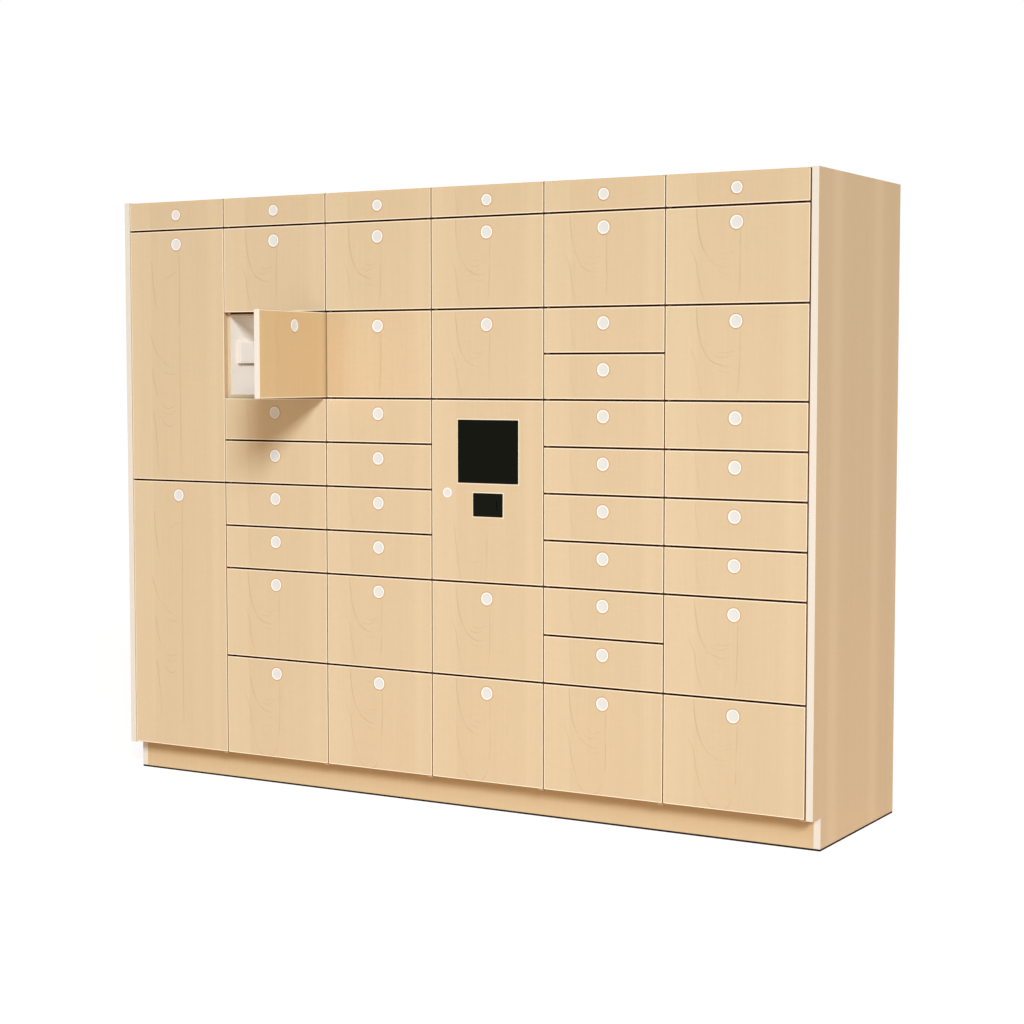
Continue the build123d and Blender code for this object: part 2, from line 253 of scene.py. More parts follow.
def maple(name, light, dark, figure=None, bands=(), rim=0.0, rim_color=(0.93, 0.90, 0.76), gloss=0.32, dull=0.40,
          ring=None, cap=False, gap_shade=0.0, top_shade=0.0, cutouts=(), corner=False):
    """Sliced maple veneer. "grain" UVs are metres across and along the grain,
    "panel" the fraction across, "sides" the metres from the left and right
    edges and "ends" from the top and bottom ones. ring is a painted contact
    shadow round a cover (its depth below the door's top and its radius), corner
    a painted shade line down the left edge, cutouts a painted highlight round
    the screen and the coin unit. figure adds one door's lines, bands its soft
    stripes, rim a painted highlight along the face's edges, with a thin painted seam shade at the top and bottom."""
    n = Nodes(name)
    g = n.uv("grain")
    u, v = g[0], g[1]
    wob = n.noise(n.vec(n.mul(u, 3.0), n.mul(v, 1.3), 3.1), detail=2)
    uw = n.add(u, n.mul(n.math("SUBTRACT", wob, 0.5), 0.02))
    broad = n.noise(n.vec(n.mul(uw, 14.0), n.mul(v, 0.45), 0.0), detail=2)
    streak = n.noise(n.vec(n.mul(uw, 95.0), n.mul(v, 1.3), 5.0), detail=3, rough=0.6)
    fibre = n.noise(n.vec(n.mul(uw, 620.0), n.mul(v, 14.0), 9.0), detail=3, rough=0.65)
    pore = n.noise(n.vec(n.mul(u, 1900.0), n.mul(v, 130.0), 2.0), detail=1)
    flake = n.noise(n.vec(n.mul(u, 26.0), n.mul(v, 95.0), 4.0), detail=2, warp=0.6)
    fac = n.add(
        0.5,
        n.mul(n.math("SUBTRACT", broad, 0.5), 0.30),
        n.mul(n.math("SUBTRACT", streak, 0.5), 0.38),
        n.mul(n.math("SUBTRACT", fibre, 0.5), 0.50),
        n.mul(n.math("SUBTRACT", flake, 0.5), 0.26),
        n.mul(n.smooth(pore, 0.60, 0.78), 0.28),
    )
    lines = None
    if figure or bands:
        fr = n.uv("panel")[0]
        for kind, a, b, amount in bands:
            shape = n.bell(fr, a, b) if kind == "bell" else n.smooth(fr, a, b)
            fac = n.add(fac, n.mul(shape, amount))
    ends = n.uv("ends") if (figure or rim) else None
    if figure:
        wx = n.noise(n.vec(n.mul(u, 5.0), n.mul(v, 6.0), 1.0), detail=2)
        wz = n.noise(n.vec(n.mul(u, 7.0), n.mul(v, 5.0), 6.0), detail=2)
        fine = n.noise(n.vec(n.mul(u, 60.0), n.mul(v, 30.0), 6.0), detail=2)
        fade = n.noise(n.vec(n.mul(u, 8.0), n.mul(v, 8.0), 8.0), detail=2)
        x = n.add(fr, n.mul(n.math("SUBTRACT", wx, 0.5), 0.020), n.mul(n.math("SUBTRACT", fine, 0.5), 0.006))
        down = n.add(ends[0], n.mul(n.math("SUBTRACT", wz, 0.5), 0.024), n.mul(n.math("SUBTRACT", fine, 0.5), 0.004))
        keep = n.smooth(fade, 0.34, 0.52, 0.35, 1.0)
        across_m = 0.41
        for kind, pts in FIGURE[figure]:
            if kind == "down":
                t = n.mul(down, 1.0 / REACH)
                a = [(d / 1000 / REACH, f) for d, f, k in pts]
                k = [(d / 1000 / REACH, k) for d, f, k in pts]
                away = n.mul(n.math("ABSOLUTE", n.math("SUBTRACT", x, n.curve(t, [(0.0, a[0][1]), (1.0, a[-1][1]), *a]))),
                             across_m)
                power = n.curve(t, [(0.0, 0.0), (1.0, 0.0), *k])
                wide = 0.0030
            else:
                a = [(f, d / 1000 / REACH) for f, d, k in pts]
                k = [(f, k) for f, d, k in pts]
                away = n.math("ABSOLUTE", n.math("SUBTRACT", down, n.mul(
                    n.curve(x, [(0.0, a[0][1]), (1.0, a[-1][1]), *a]), REACH)))
                power = n.curve(x, [(0.0, 0.0), (1.0, 0.0), *k])
                wide = 0.0032
            line = n.mul(n.smooth(away, 0.0002, wide, 1.0, 0.0), power)
            lines = line if lines is None else n.math("MAXIMUM", lines, line)
        lines = n.mul(lines, keep)
    col = n.mix(fac, light, dark)
    if lines is not None:
        col = n.mix(n.mul(lines, 0.66), col, tuple(c * k for c, k in zip(dark, (0.80, 0.74, 0.66))))
    # painted highlight: a pale line along the face's edges, for the light caught by the eased edges
    if rim:
        sides = n.uv("sides")
        near = n.math("MINIMUM", ends[1] if cap else n.math("MINIMUM", ends[0], ends[1]),
                      n.math("MINIMUM", n.mul(sides[0], 1.5), n.mul(sides[1], 1.5)))
        col = n.mix(n.smooth(near, 0.0024, 0.0044, rim, 0.0), col, rim_color)
    if cap:
        col = n.mix(n.smooth(ends[0], 0.0022, 0.0042, 0.60, 0.0), col, (0.74, 0.50, 0.25))
    # painted shade: a thin dark brown line right at the top and bottom edges, where the horizontal seams are in shade
    if rim:
        seam_shade = ends[1] if cap else n.math("MINIMUM", ends[0], ends[1])
        col = n.mix(n.smooth(seam_shade, 0.0008, 0.0016, 0.85, 0.0), col, (0.30, 0.125, 0.030))
    # painted shade: a dark line down the left edge, where the gap beside the open door's hinge is in shade
    if corner:
        col = n.mix(n.smooth(n.uv("sides")[0], 0.0024, 0.0042, 0.92, 0.0), col, (0.20, 0.090, 0.030))
    # painted highlight: the same pale line round the screen and coin unit cut-outs
    for mid_x, mid_z, half_x, half_z in cutouts:
        sides = n.uv("sides")
        gap = n.math("MAXIMUM", n.math("SUBTRACT", n.math("ABSOLUTE", n.math("SUBTRACT", sides[0], mid_x)), half_x),
                     n.math("SUBTRACT", n.math("ABSOLUTE", n.math("SUBTRACT", ends[0], mid_z)), half_z))
        col = n.mix(n.smooth(gap, 0.0020, 0.0038, rim, 0.0), col, rim_color)
    # painted shade: darker down from the top edge, where the overhanging doors shade the plinth
    if top_shade:
        col = n.mix(n.smooth(n.uv("ends")[0], 0.004, top_shade, 0.44, 0.0), col, (0.42, 0.27, 0.11))
    # painted shade: a near-black line along the middle of a shelf's front edge, for the shade in the seams between the
    # doors
    if gap_shade:
        depth = n.math("MINIMUM", n.uv("ends")[0], n.uv("ends")[1])
        col = n.mix(n.smooth(depth, gap_shade, gap_shade + 0.0006), col, (0.034, 0.012, 0.003))
    # painted shadow: a faint brown ring round each cover, where it meets the door
    if ring:
        down_mm, radius = ring
        sides = n.uv("sides")
        dx = n.mul(n.math("SUBTRACT", sides[0], sides[1]), 0.5)
        dz = n.math("SUBTRACT", ends[0], down_mm)
        r = n.math("SQRT", n.add(n.mul(dx, dx), n.mul(dz, dz)))
        col = n.mix(n.smooth(r, radius + 0.0030, radius + 0.0046, 0.60, 0.0), col, (0.50, 0.29, 0.12))
    rough = n.add(dull, n.mul(n.math("SUBTRACT", fibre, 0.5), 0.16), n.mul(broad, 0.06))
    n.set(col, rough, spec=gloss)
    n.bump(n.add(n.mul(fibre, 0.6), n.mul(pore, 0.4), n.mul(streak, 0.3)), 0.18, 0.0004)
    return n.mat


def board_white(name, base):
    """Melamine-faced board: pale, a fine speckle and a soft orange-peel."""
    n = Nodes(name)
    o = n.obj_coord()
    big = n.noise(o, 5.0, 2)
    grit = n.noise(o, 900.0, 2)
    peel = n.noise(o, 260.0, 2)
    col = n.mix(n.add(0.5, n.mul(n.math("SUBTRACT", big, 0.5), 0.5), n.mul(n.math("SUBTRACT", grit, 0.5), 0.7)),
                tuple(c * 1.03 for c in base), tuple(c * k for c, k in zip(base, (0.95, 0.945, 0.93))))
    n.set(col, n.add(0.42, n.mul(peel, 0.14)), spec=0.3)
    n.bump(n.add(peel, n.mul(grit, 0.4)), 0.12, 0.0003)
    return n.mat


def band(name, base):
    """ABS edge banding: fine lengthwise drawing marks."""
    n = Nodes(name)
    g = n.uv("grain")
    draw = n.noise(n.vec(n.mul(g[0], 1500.0), n.mul(g[1], 5.0), 1.0), detail=2)
    cloud = n.noise(n.vec(n.mul(g[0], 30.0), n.mul(g[1], 3.0), 4.0), detail=2)
    col = n.mix(n.add(n.mul(draw, 0.5), n.mul(cloud, 0.5)), tuple(c * 1.03 for c in base),
                tuple(c * k for c, k in zip(base, (0.95, 0.94, 0.92))))
    n.set(col, n.add(0.36, n.mul(draw, 0.14)), spec=0.35)
    n.bump(draw, 0.10, 0.0002)
    return n.mat


def moulded(name, base, rough=0.38, coat=0.0, grain=700.0, depth=0.15, spec=0.38):
    """Injection-moulded plastic with a fine spark-eroded texture."""
    n = Nodes(name)
    o = n.obj_coord()
    fine = n.noise(o, grain, 3)
    big = n.noise(o, 14.0, 2)
    col = n.mix(n.add(n.mul(fine, 0.45), n.mul(big, 0.55)), tuple(min(c * 1.035, 1) for c in base),
                tuple(c * 0.955 for c in base))
    n.set(col, n.add(rough - 0.06, n.mul(fine, 0.14)), spec=spec, coat=coat, coat_rough=0.2)
    n.bump(fine, depth, 0.0002)
    return n.mat


def steel(name, base=(0.60, 0.60, 0.61), rough=0.30, along="z"):
    """Zinc-plated or brushed steel with lengthwise marks and dull spots."""
    n = Nodes(name)
    x, y, z = n.split(n.obj_coord())
    s = {"x": (40.0, 1500.0, 1500.0), "y": (1500.0, 40.0, 1500.0), "z": (1500.0, 1500.0, 40.0)}[along]
    brush = n.noise(n.vec(n.mul(x, s[0]), n.mul(y, s[1]), n.mul(z, s[2])), detail=2)
    spot = n.noise(n.obj_coord(), 120.0, 3)
    col = n.mix(n.add(n.mul(brush, 0.5), n.mul(spot, 0.5)), tuple(c * 1.08 for c in base),
                tuple(c * 0.86 for c in base))
    n.set(col, n.add(rough - 0.08, n.mul(brush, 0.14), n.mul(spot, 0.08)), metallic=1.0)
    n.bump(brush, 0.10, 0.0001)
    return n.mat


def powder(name, base, upper=None):
    """Powder coat; upper is a second colour for parts above 1.98 m, and parts
    below 0.10 m match the wood."""
    n = Nodes(name)
    o = n.obj_coord()
    peel = n.noise(o, 420.0, 2)
    big = n.noise(o, 9.0, 2)
    col = n.mix(big, tuple(c * 1.06 for c in base), tuple(c * 0.92 for c in base))
    if upper:
        z = n.split(o)[2]
        col = n.mix(n.smooth(z, 1.980, 1.984), col, upper)
        col = n.mix(n.smooth(z, 0.103, 0.106, 1.0, 0.0), col, (0.50, 0.37, 0.22))
    n.set(col, n.add(0.48, n.mul(peel, 0.16)), spec=0.4)
    n.bump(peel, 0.25, 0.0004)
    return n.mat


def glass_black(name):
    """Front glass of the screen: black mask, faint smears in the gloss only."""
    n = Nodes(name)
    o = n.obj_coord()
    smear = n.noise(o, 16.0, 4, 0.6, 0.8)
    dust = n.noise(o, 700.0, 1)
    col = n.mix(n.smooth(dust, 0.66, 0.80), (0.0040, 0.0058, 0.0046), (0.007, 0.010, 0.008))
    n.set(col, n.add(0.16, n.mul(smear, 0.10)), spec=0.10)
    n.bump(smear, 0.02, 0.0002)
    return n.mat


LIGHT, DARK = (0.668, 0.574, 0.402), (0.580, 0.477, 0.318)
M = {}
DOOR_BANDS = (("step", 0.205, 0.240, 0.22), ("step", 0.80, 0.86, -0.12), ("bell", 0.895, 0.06, -0.12),
              ("bell", 0.03, 0.12, -0.08))
# painted contact shadow round the door covers: depth below the door's top, radius
RING = (0.0475, 0.0205)
for kind in ("door", "tall", "small", "console"):
    M[kind] = maple("maple_" + kind, LIGHT, DARK, figure=kind, bands=DOOR_BANDS, rim=0.9,
                    ring=None if kind == "console" else RING,
                    cutouts=((0.209, 0.163, 0.111, 0.1005), (0.209, 0.332, 0.0545, 0.0375)) if kind == "console" else ())
# header doors: a slightly darker copy of the maple, painted shade for the dimmer light at the top row
M["header"] = maple("maple_header", tuple(c * k for c, k in zip(LIGHT, (0.982, 0.978, 0.970))),
                    tuple(c * k for c, k in zip(DARK, (0.982, 0.978, 0.970))), figure="small", bands=DOOR_BANDS, rim=0.9,
                    ring=(0.0455, 0.018), cap=True)
# open door: a warmer, darker copy of the maple, painted shade and warm bounce light for a face turned away from the key
# light
M["open"] = maple("maple_open", (0.668, 0.517, 0.303), (0.580, 0.426, 0.235), figure="open", bands=DOOR_BANDS, rim=0.9,
                  ring=RING)
# door beside the open door's hinge: painted shade, darker and warmer towards its left side where the open door shades
# it, and the painted shade line down its left edge
M["beside"] = maple("maple_beside", LIGHT, tuple(c * k for c, k in zip(DARK, (0.95, 0.88, 0.80))), figure="beside",
                    bands=(("bell", -0.05, 0.42, 0.65), ("step", 0.80, 0.86, -0.12)), rim=0.9, ring=RING, corner=True)
M["panel"] = maple("maple_panel", tuple(c * k for c, k in zip(LIGHT, (1.03, 0.99, 0.97))),
                   tuple(c * k for c, k in zip(DARK, (1.03, 0.99, 0.97))),
                   bands=(("bell", 0.22, 0.10, -0.55), ("bell", 0.72, 0.09, -0.40), ("bell", 0.88, 0.12, 0.15)))
M["plain"] = maple("maple_plain", LIGHT, DARK)
M["edge"] = maple("maple_edge_band", tuple(c * 0.98 for c in LIGHT), tuple(c * 0.98 for c in DARK))
# plinth veneer with painted shade in its upper part, under the doors
M["plinth"] = maple("maple_plinth", tuple(c * k for c, k in zip(LIGHT, (0.985, 0.945, 0.885))),
                    tuple(c * k for c, k in zip(DARK, (0.985, 0.945, 0.885))), top_shade=0.105)
# shelf front edges with the painted shade line seen through the seams
M["gap_shade"] = maple("maple_edge_gap_shade", tuple(c * 0.98 for c in LIGHT), tuple(c * 0.98 for c in DARK), gap_shade=0.0060)
# near-black top and bottom door edges: painted shade for the horizontal seams
M["end"] = maple("maple_end_painted_shade", (0.046, 0.017, 0.005), (0.032, 0.011, 0.003), gloss=0.0, dull=0.95)
# door hinge edges, seen through the vertical seams: dark brown painted shade, and a lighter copy of it
M["flank"] = maple("maple_hinge_edge", (0.360, 0.205, 0.088), (0.295, 0.162, 0.066), gloss=0.08, dull=0.75)
M["flank_pale"] = maple("maple_hinge_edge_pale", (0.600, 0.440, 0.270), (0.515, 0.370, 0.218), gloss=0.08, dull=0.75)
M["ivory"] = band("ivory_edge_band", (0.705, 0.705, 0.665))
M["white"] = board_white("melamine_pale_grey", (0.835, 0.800, 0.745))
M["cover"] = moulded("cover_pale_grey", (0.655, 0.712, 0.742), rough=0.36, coat=0.10, grain=900.0, depth=0.08)
M["cover_rim"] = moulded("cover_rim_white", (0.850, 0.900, 0.930), rough=0.30, coat=0.20, grain=900.0, depth=0.05)
M["case"] = moulded("lock_case_white", (0.860, 0.835, 0.790), rough=0.42)
M["case_edge"] = moulded("lock_case_edge", (0.640, 0.610, 0.560), rough=0.50)
M["black"] = moulded("terminal_black", (0.0038, 0.0054, 0.0042), rough=0.62, grain=1100.0, depth=0.12, spec=0.10)
M["glass"] = glass_black("screen_glass")
M["steel"] = steel("fitting_steel", (0.20, 0.155, 0.115), 0.42)
M["steel_y"] = steel("fitting_steel_y", along="y")
M["brass"] = steel("barrel_steel", (0.52, 0.51, 0.50), 0.28, "y")
M["hinge"] = powder("hinge_brown", (0.040, 0.016, 0.006), (0.90, 0.88, 0.83))
M["powder"] = powder("coin_box_grey", (0.17, 0.18, 0.185))
# near-black strip along the floor under the carcass: painted contact shadow
M["contact_shade"] = moulded("contact_shadow_strip_black", (0.006, 0.0055, 0.005), rough=0.75, grain=500.0, depth=0.3)


# ------------------------------------------------------------------- mesh kit
UV_NAMES = ("grain", "panel", "sides", "ends")


def uv_layers(bm):
    return {k: bm.loops.layers.uv.get(k) or bm.loops.layers.uv.new(k) for k in UV_NAMES}


def bevel(bm, edges, size, segments=3):
    bmesh.ops.bevel(bm, geom=list(edges), offset=size, segments=segments, profile=0.5,
                    affect="EDGES", clamp_overlap=True)


def prism(outline, axis, a, b, holes=()):
    """A bmesh of an outline (2-D points) with holes, run along an axis from a
    to b. The two plane coordinates are the other axes in x, y, z order."""
    bm = bmesh.new()
    k = "xyz".index(axis)
    others = [i for i in range(3) if i != k]

    def vert(p):
        co = [0.0, 0.0, 0.0]
        co[k] = a
        co[others[0]], co[others[1]] = p
        return bm.verts.new(co)

    edges = []
    for loop in [outline, *holes]:
        vs = [vert(p) for p in loop]
        edges += [bm.edges.new((vs[i], vs[(i + 1) % len(vs)])) for i in range(len(vs))]
    if holes:
        bmesh.ops.triangle_fill(bm, use_beauty=True, use_dissolve=False, edges=edges)
    else:
        bm.faces.new([v for v in bm.verts])
    faces = list(bm.faces)
    made = bmesh.ops.extrude_face_region(bm, geom=faces)
    move = [0.0, 0.0, 0.0]
    move[k] = b - a
    bmesh.ops.translate(bm, vec=move, verts=[g for g in made["geom"] if isinstance(g, bmesh.types.BMVert)])
    bmesh.ops.recalc_face_normals(bm, faces=bm.faces)
    return bm


def box_bm(x0, x1, y0, y1, z0, z1, size=0.0, segments=3):
    bm = bmesh.new()
    bmesh.ops.create_cube(bm, size=1.0)
    for v in bm.verts:
        v.co = Vector((x0 if v.co.x < 0 else x1, y0 if v.co.y < 0 else y1, z0 if v.co.z < 0 else z1))
    if size:
        bevel(bm, bm.edges, size, segments)
    return bm


def circle(cx, cy, r, n=48):
    return [(cx + r * math.cos(2 * math.pi * i / n), cy + r * math.sin(2 * math.pi * i / n)) for i in range(n)]


def round_rect(x0, x1, y0, y1, r, n=6):
    pts = []
    for cx, cy, a0 in ((x1 - r, y1 - r, 0), (x0 + r, y1 - r, 90), (x0 + r, y0 + r, 180), (x1 - r, y0 + r, 270)):
        for i in range(n + 1):
            a = math.radians(a0 + 90 * i / n)
            pts.append((cx + r * math.cos(a), cy + r * math.sin(a)))
    return pts


def lathe(profile, centre, axis, n=64):
    """A closed turned solid: profile is (distance along the axis, radius) from
    one end to the other, with radius 0 at both ends."""
    bm = bmesh.new()
    a = Vector(axis).normalized()
    s = a.orthogonal().normalized()
    t = a.cross(s)
    rings = []
    for d, r in profile:
        if r <= 1e-9:
            rings.append([bm.verts.new(Vector(centre) + a * d)])
        else:
            rings.append([bm.verts.new(Vector(centre) + a * d + (s * math.cos(q) + t * math.sin(q)) * r)
                          for q in (2 * math.pi * i / n for i in range(n))])
    for A, B in zip(rings, rings[1:]):
        for i in range(n):
            j = (i + 1) % n
            if len(A) == 1:
                bm.faces.new((A[0], B[i], B[j]))
            elif len(B) == 1:
                bm.faces.new((A[i], A[j], B[0]))
            else:
                bm.faces.new((A[i], A[j], B[j], B[i]))
    bmesh.ops.recalc_face_normals(bm, faces=bm.faces)
    for f in bm.faces:
        f.smooth = True
    return bm


def join(*bms):
    """Several bmeshes as one; faces keep their material index."""
    out = bmesh.new()
    for b in bms:
        me = bpy.data.meshes.new("tmp")
        b.to_mesh(me)
        b.free()
        out.from_mesh(me)
        bpy.data.meshes.remove(me)
    return out


def paint(bm, index):
    for f in bm.faces:
        f.material_index = index
    return bm


def map_uv(bm, seed, across=None, top=None, low=None):
    """grain: metres across and along the grain, shifted by seed. On the ends of
    a board the grain runs along its longer side. panel: fraction across.
    sides, ends: metres from a door's left, right, top and bottom edges."""
    L = uv_layers(bm)
    xs = [v.co.x for v in bm.verts]
    ys = [v.co.y for v in bm.verts]
    lo, hi = across if across else (min(xs), max(xs))
    zt = top if top is not None else max(v.co.z for v in bm.verts)
    span = (max(xs) - min(xs), max(ys) - min(ys))
    for f in bm.faces:
        n = f.normal
        k = max(range(3), key=lambda i: abs(n[i]))
        for lp in f.loops:
            c = lp.vert.co
            if k == 1:
                g = (c.x, c.z)
            elif k == 0:
                g = (c.y, c.z)
            else:
                g = (c.y, c.x) if span[0] > span[1] else (c.x, c.y)
            lp[L["grain"]].uv = (g[0] + seed * 3.71, g[1] + seed * 1.93)
            q = c.y if (k == 0 and across is None and span[0] < 0.05) else c.x
            lo2, hi2 = (min(ys), max(ys)) if (k == 0 and across is None and span[0] < 0.05) else (lo, hi)
            fr = (q - lo2) / max(hi2 - lo2, 1e-6)
            lp[L["panel"]].uv = (fr, zt - c.z)
            if low is not None:
                lp[L["sides"]].uv = (c.x - lo, hi - c.x)
                lp[L["ends"]].uv = (zt - c.z, c.z - low)
            else:
                lp[L["sides"]].uv = (9.0, 9.0)
                lp[L["ends"]].uv = (9.0, 9.0)
    return bm


def finish_obj(name, bm, mats, body, turn=None, replaces=()):
    if turn is not None:
        bmesh.ops.transform(bm, matrix=turn, verts=bm.verts)
    me = bpy.data.meshes.new(name)
    bm.to_mesh(me)
    bm.free()
    for m in mats:
        me.materials.append(M[m])
    ob = bpy.data.objects.new(name, me)
    bpy.context.scene.collection.objects.link(ob)
    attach(ob, body)
    for node in replaces:
        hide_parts(node)
    return ob


def face_mats(bm, rule):
    bm.normal_update()
    for f in bm.faces:
        f.material_index = rule(f.normal, f.calc_center_median())
    return bm


def about(x, y, angle):
    p = Vector((x, y, 0))
    return Matrix.Translation(p) @ Matrix.Rotation(angle, 4, "Z") @ Matrix.Translation(-p)


# ---------------------------------------------------------------------- doors
def disc_bm(cx, cz, r, thick, face_y):
    """Round cover: a raised rim, a shallow step and a slightly dished middle."""
    e = 0.7 * MM
    prof = [(0.0, 0.0), (0.0, r - 0.1 * MM), (thick - e, r)]
    for i in range(1, 6):
        a = math.radians(90 * i / 5)
        prof.append((thick - e + e * math.sin(a), r - e + e * math.cos(a)))
    prof += [(thick - 0.02 * MM, r - 3.4 * MM), (thick - 0.24 * MM, r - 3.9 * MM),
             (thick - 0.28 * MM, r * 0.6), (thick - 0.30 * MM, r * 0.25), (thick - 0.30 * MM, 0.0)]
    bm = lathe(prof, (cx, face_y, cz), (0, -1, 0), n=72)
    for f in bm.faces:
        c = f.calc_center_median()
        f.material_index = 1 if math.hypot(c.x - cx, c.z - cz) > r - 3.7 * MM else 0
    return bm


def screw_bm(centre, axis, r=3.2 * MM, head=1.1 * MM):
    """Countersunk screw head with a cross recess, shown as a stepped turned head."""
    prof = [(0.0, 0.0), (0.0, r), (head * 0.35, r), (head * 0.8, r * 0.82), (head, r * 0.55),
            (head, r * 0.36), (head * 0.45, r * 0.22), (head * 0.45, 0.0)]
    return lathe(prof, centre, axis, n=20)


def fittings_bm(x_left, x_right, z0, z1, z_case=None):
    """Pivot pins at the hinge edge, and the flat latch tongue with its foot,
    which goes in just under the lock case whose lower face is at z_case."""
    ax, ay = x_right - 7 * MM, fy(7.0)
    parts = []
    for z, s in ((z1, 1), (z0, -1)):
        parts.append(lathe([(-0.0004, 0.0), (-0.0004, 0.0052), (0.0006, 0.0052), (0.0007, 0.0025),
                            (PIN_OUT - 0.0003, 0.0025), (PIN_OUT, 0.0021), (PIN_OUT, 0.0)],
                           (ax, ay, z), (0, 0, s), n=28))
    if z_case is not None:
        xa, y_in, zt = x_left - 2 * MM + 16.5 * MM, fy(19.0), z_case - 2.5 * MM
        tongue = prism(round_rect(xa, xa + 13.5 * MM, y_in, y_in + 50 * MM, 2.0 * MM), "z", zt - 3 * MM, zt,
                       holes=[circle(xa + 6.75 * MM, y_in + 42 * MM, 3.0 * MM, 20)])
        bevel(tongue, [e for e in tongue.edges if e.calc_face_angle(0) > 1.0 and e.calc_length() > 2e-3], 0.3 * MM, 1)
        foot = box_bm(xa, xa + 13.5 * MM, y_in, y_in + 2 * MM, zt - 17 * MM, zt - 3 * MM, 0.4 * MM, 2)
        parts += [tongue, foot, screw_bm((xa + 6.75 * MM, y_in + 2 * MM, zt - 10.5 * MM), (0, 1, 0), 2.8 * MM)]
    return join(*parts)


def door_faces(n, c):
    if n.y < -0.85:
        return 0          # veneer face
    if n.y > 0.75:
        return 3          # inner face
    if n.x < -0.30 and abs(n.z) < 0.5:
        return 1          # free edge
    return 4 if abs(n.z) > 0.30 else 2


def make_door(node, body, x0, x1, z0, z1, disc_r, disc_z, z_case, seed, turn=None):
    bm = box_bm(x0, x1, fy(0), fy(19), z0, z1, 0.7 * MM, 3)
    face_mats(bm, door_faces)
    map_uv(bm, seed, across=(x0, x1), top=z1, low=z0)
    h = z1 - z0
    # the open door's ends and the header doors' top edges get the plain maple edge instead of the painted shade
    for f in bm.faces:
        if f.material_index == 4 and (turn or (h < 0.12 and f.normal.z > 0.3)):
            f.material_index = 5
    kind = "open" if turn else "tall" if h > 0.5 else "header" if h < 0.12 else "small" if h < 0.18 else "door"
    # this door gets the copy of the maple with painted shade from the open door
    if node == "door_col3_2":
        kind = "beside"
    # the lighter painted shade goes on the hinge edges seen beside the open compartment and on the open door
    flank = "flank_pale" if node in ("door_col1_1", "door_col2_2") else "flank"
    board = finish_obj(node + "_board", bm, (kind, "ivory", flank, "white", "end", "edge"), body, turn,
                       (node,))
    cover = finish_obj(node + "_cover", disc_bm((x0 + x1) / 2, disc_z, disc_r, 2.0 * MM, fy(0)), ("cover", "cover_rim"),
                       body, turn)
    fit = finish_obj(node + "_fittings", fittings_bm(x0, x1, z0, z1, z_case), ("steel",), body,
                     turn)
    return board


def edges_of(c):
    return fx(SEAM[c - 1] + 2), fx(SEAM[c] - 2)


OPEN = about(fx(SEAM[2] - 9), fy(7), math.radians(95))
seed = 1
doors = []
for c, rows in ROWS.items():
    x0, x1 = edges_of(c)
    n = 0
    for zh, zl in zip(rows, rows[1:]):
        if c == 4 and zh == 1326.0:
            continue
        n += 1
        seed += 1
        node = f"door_col{c}_{n}"
        make_door(node, node, x0, x1, (zl + 2.5) * MM, (zh - 2.5) * MM, 20.5 * MM, (zh - 50) * MM,
                  ((zl + zh) / 2 - 27) * MM, seed, OPEN if (c, n) == (2, 2) else None)
    seed += 1
    make_door(f"header_door_{c}", f"header_door_{c}", x0, x1, 1902.5 * MM, 1996 * MM, 18 * MM, 1950.5 * MM,
              ((1900 + 1998.5) / 2 - 25) * MM, seed)

# ------------------------------------------------------------------- terminal
cx = fx(TERMINAL_X)
x0, x1 = edges_of(4)
cam_x, cam_z = fx(SEAM[3] + 60), 1027 * MM
SW, SZ0, SZ1 = 222 * MM, 1060 * MM, 1261 * MM
CW, CZ0, CZ1 = 109 * MM, 954 * MM, 1029 * MM
IN = 7 * MM


def rect(xa, xb, za, zb):
    return [(xa, za), (xb, za), (xb, zb), (xa, zb)]


bm = prism(rect(x0, x1, 745.5 * MM, 1323.5 * MM), "y", fy(0), fy(19), holes=[
    rect(cx - SW / 2 + IN - MM, cx + SW / 2 - IN + MM, SZ0 + IN - MM, SZ1 - IN + MM),
    rect(cx - CW / 2 + IN - MM, cx + CW / 2 - IN + MM, CZ0 + IN - MM, CZ1 - IN + MM),
    circle(cam_x, cam_z, 8 * MM, 32)])
outer = [e for e in bm.edges if len(e.link_faces) == 2 and e.calc_face_angle(0) > 1.0 and
         all(min(abs(v.co.x - x0), abs(v.co.x - x1), abs(v.co.z - 0.7455), abs(v.co.z - 1.3235)) < 1e-6
             for v in e.verts)]
bevel(bm, outer, 0.7 * MM, 3)
face_mats(bm, door_faces)
map_uv(bm, 91, across=(x0, x1), top=1.3235, low=0.7455)
finish_obj("console_door_board", bm, ("console", "ivory", "flank", "white", "end"), "console", None,
           ("console_door",))
finish_obj("console_door_pins", fittings_bm(x0, x1, 745.5 * MM, 1323.5 * MM), ("steel",),
           "console")

# screen: housing, frame and glass
frame_ring = prism(round_rect(cx - SW / 2, cx + SW / 2, SZ0, SZ1, 1.2 * MM), "y", fy(-1.5), fy(0),
                   holes=[round_rect(cx - SW / 2 + 3 * MM, cx + SW / 2 - 3 * MM, SZ0 + 3 * MM, SZ1 - 3 * MM, 1.0 * MM)])
bevel(frame_ring, [e for e in frame_ring.edges if e.calc_face_angle(0) > 1.2 and
                   all(v.co.y < fy(-1.4) for v in e.verts)], 0.4 * MM, 2)
housing = box_bm(cx - SW / 2 + IN, cx + SW / 2 - IN, fy(0), fy(48), SZ0 + IN, SZ1 - IN, 1.5 * MM, 3)
ribs = [box_bm(cx - SW / 2 + IN + (12 + 16 * i) * MM, cx - SW / 2 + IN + (18 + 16 * i) * MM, fy(47.6), fy(48.0),
               SZ0 + 45 * MM, SZ1 - 45 * MM, 0.15 * MM, 1) for i in range(12)]
finish_obj("screen_housing", join(frame_ring, housing, *ribs), ("black",), "console", None,
           ("touchscreen",))
